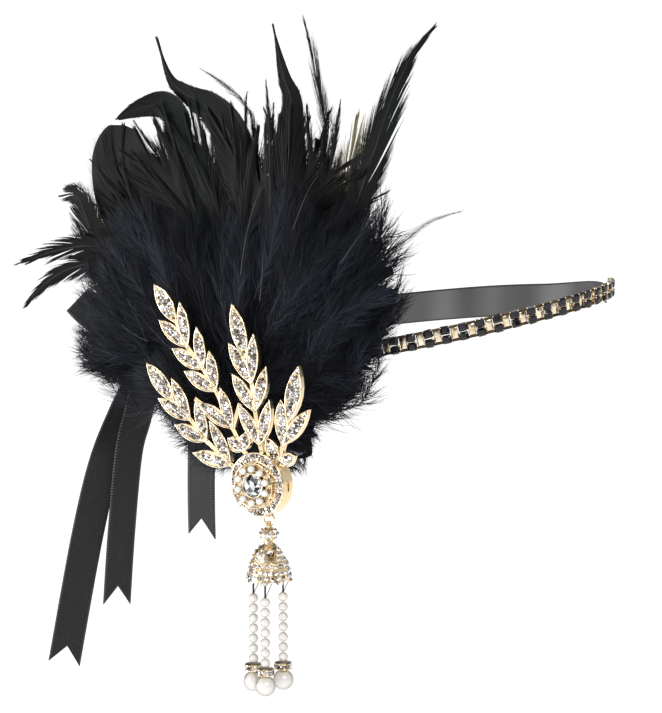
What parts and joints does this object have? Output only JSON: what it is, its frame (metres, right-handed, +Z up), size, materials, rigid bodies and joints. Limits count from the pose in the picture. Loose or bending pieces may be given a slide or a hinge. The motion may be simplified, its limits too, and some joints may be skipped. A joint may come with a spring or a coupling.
{
  "type": "feather headband",
  "caption": "Worn-form headband: stone chain over the brow, satin ribbon tied at the back, down plume with tall feathers, gilt leaf brooch and a hanging pearl drop.",
  "frame": {"origin": "middle of the loop that sits on the head", "axes": "+Z up, -Y the way the wearer faces, -X the wearer's right, where the brooch is"},
  "size_m": [0.1849, 0.2424, 0.2887],
  "materials": {
    "down": "soft navy-black down",
    "feather": "glossy black feather",
    "feather_cream": "pale feather",
    "felt": "black felt",
    "satin": "black satin ribbon",
    "gilt": "pale polished gilt",
    "steel": "plain",
    "pearl": "pearl lustre",
    "crystal": "cut, foil backed"
  },
  "bodies": {
    "headband": {"plume_fluff": "down", "feather_wisp_right": "feather", "feather_hackle": "feather", "feather_cream": "feather_cream", "feather_spike_right": "feather", "feather_spray": "feather", "feather_curl": "feather", "feather_spike_middle": "feather", "feather_sabre": "feather", "feather_wisp_top": "feather", "feather_bent": "feather", "feather_round": "feather", "feather_jagged": "feather", "feather_spike_upper": "feather", "feather_spike_lower": "feather", "felt_backing": "felt", "brooch_pin": "steel", "brooch_frame": "gilt", "pearl_ring": "pearl", "centre_crystal": "crystal", "chain_band": "gilt", "ribbon_band": "satin", "ribbon_side": "satin", "bow_knot": "satin", "bow_loop_outer": "satin", "bow_loop_inner": "satin", "tail_long": "satin", "tail_middle": "satin", "tail_short": "satin"},
    "ring": {"jump_ring": "gilt"},
    "drop": {"drop_cap": "gilt", "strand_1": "pearl", "strand_2": "pearl", "strand_3": "pearl", "rondelle_1": "crystal", "rondelle_2": "crystal", "rondelle_3": "crystal", "drop_pearl_1": "pearl", "drop_pearl_2": "pearl", "drop_pearl_3": "pearl"}
  },
  "joints": [
    {"name": "ring_swing", "type": "hinge", "parent": "headband", "child": "ring", "pos_m": [-0.1005, -0.0104, -0.061], "axis": [0, 1, 0], "range_deg": [-20, 25]},
    {"name": "drop_swing", "type": "hinge", "parent": "ring", "child": "drop", "pos_m": [-0.1005, -0.0104, -0.0635], "axis": [1, 0, 0], "range_deg": [-45, 45]}
  ]
}
